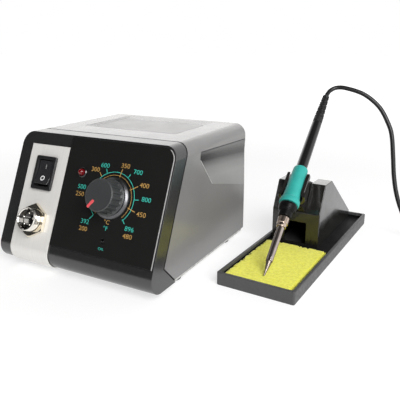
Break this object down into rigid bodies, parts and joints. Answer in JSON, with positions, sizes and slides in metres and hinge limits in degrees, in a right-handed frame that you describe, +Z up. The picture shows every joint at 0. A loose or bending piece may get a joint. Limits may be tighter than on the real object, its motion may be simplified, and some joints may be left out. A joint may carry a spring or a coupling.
{
  "type": "soldering iron station",
  "caption": "Temperature-controlled soldering station: a sloping-front control unit with dial, switch and socket, and a corded iron lying in a weighted stand with a sponge tray.",
  "frame": {"origin": "middle of the box round station and stand, on the bench, with the iron's cord left out", "axes": "+X to the right along the station's front, +Y to the rear, +Z up; the sloping panel faces -Y"},
  "size_m": [0.375, 0.2479, 0.1374],
  "materials": {
    "housing_grey": "smooth gloss moulded plastic",
    "bezel_black": "satin moulded plastic",
    "panel_film": "satin printed film",
    "silver_sheet": "fine brushed",
    "nickel": "bright nickel plate",
    "steel": "plain turned steel",
    "zinc_sheet": "zinc-plated sheet",
    "black_plastic": "semi-gloss moulded plastic",
    "lamp_red": "clear red lens",
    "pointer_red": "painted line",
    "board_green": "glass-fibre circuit board",
    "copper_winding": "enamelled copper wire",
    "lamination": "stacked steel laminations",
    "rubber_black": "matt rubber",
    "tray_grey": "fine matt texture",
    "holder_black": "gloss paint on a die casting",
    "sponge_yellow": "open-cell cellulose sponge",
    "grip_green": "soft moulded foam rubber",
    "ceramic": "ceramic heater rod",
    "fuse_glass": "glass tube fuse"
  },
  "bodies": {
    "station_and_stand": {"housing_cover": "housing_grey", "front_bezel": "bezel_black", "connector_strip": "silver_sheet", "panel_overlay": "panel_film", "base_plate": "zinc_sheet", "rear_panel": "housing_grey", "rear_screw_1": "steel", "rear_screw_2": "steel", "rear_screw_3": "steel", "rear_screw_4": "steel", "rubber_foot_1": "rubber_black", "rubber_foot_2": "rubber_black", "rubber_foot_3": "rubber_black", "rubber_foot_4": "rubber_black", "switch_frame": "black_plastic", "socket_shell": "nickel", "socket_nut": "nickel", "socket_insert": "black_plastic", "led_bezel": "black_plastic", "led_lens": "lamp_red", "pot_body": "steel", "pot_nut": "nickel", "cal_trimmer": "black_plastic", "control_board": "board_green", "heatsink": "zinc_sheet", "triac": "black_plastic", "filter_capacitor": "black_plastic", "transformer_core": "lamination", "transformer_coil": "copper_winding", "transformer_bracket": "zinc_sheet", "mains_inlet": "black_plastic", "stand_tray": "tray_grey", "sponge": "sponge_yellow", "holder_block": "holder_black", "cradle": "holder_black", "iron_cord": "rubber_black", "cord_tail": "rubber_black", "cord_coil": "rubber_black", "plug_relief": "rubber_black", "plug_shell": "nickel", "plug_insert": "black_plastic"},
    "rocker": {"switch_rocker": "black_plastic"},
    "knob": {"temp_knob": "black_plastic", "knob_pointer": "pointer_red", "knob_ring": "nickel", "pot_shaft": "steel"},
    "trimmer": {"trimmer_rotor": "nickel"},
    "drawer": {"fuse_drawer": "black_plastic", "fuse": "fuse_glass"},
    "iron": {"iron_tip": "nickel", "barrel_tube": "steel", "heater": "ceramic", "nose_collar": "black_plastic", "grip_sleeve": "grip_green", "handle": "black_plastic", "strain_relief": "rubber_black"},
    "nut": {"barrel_nut": "steel"},
    "ring": {"plug_ring": "nickel"}
  },
  "joints": [
    {"name": "rocker_tilt", "type": "hinge", "parent": "station_and_stand", "child": "rocker", "pos_m": [-0.09041, -0.09283, 0.07543], "axis": [1, 0, 0], "range_deg": [0, 16]},
    {"name": "knob_turn", "type": "hinge", "parent": "station_and_stand", "child": "knob", "pos_m": [-0.02051, -0.09868, 0.06656], "axis": [0, 0.9079, -0.4192], "range_deg": [0, 273]},
    {"name": "trimmer_turn", "type": "hinge", "parent": "station_and_stand", "child": "trimmer", "pos_m": [-0.02081, -0.11226, 0.03715], "axis": [0, 0.9079, -0.4192], "range_deg": [0, 270]},
    {"name": "drawer_slide", "type": "slide", "parent": "station_and_stand", "child": "drawer", "axis": [0, 1, 0], "range_m": [0, 0.02]},
    {"name": "iron_lift", "type": "slide", "parent": "station_and_stand", "child": "iron", "axis": [0.0107, -0.6156, 0.788], "range_m": [0, 0.06], "deforming": ["iron_cord"]},
    {"name": "nut_turn", "type": "hinge", "parent": "iron", "child": "nut", "pos_m": [0.08416, -0.05566, 0.00932], "axis": [-0.0138, 0.7879, 0.6157], "continuous": true},
    {"name": "ring_turn", "type": "hinge", "parent": "station_and_stand", "child": "ring", "pos_m": [0.24039, 0.03296, 0.0114], "axis": [0, -1, 0], "continuous": true}
  ]
}
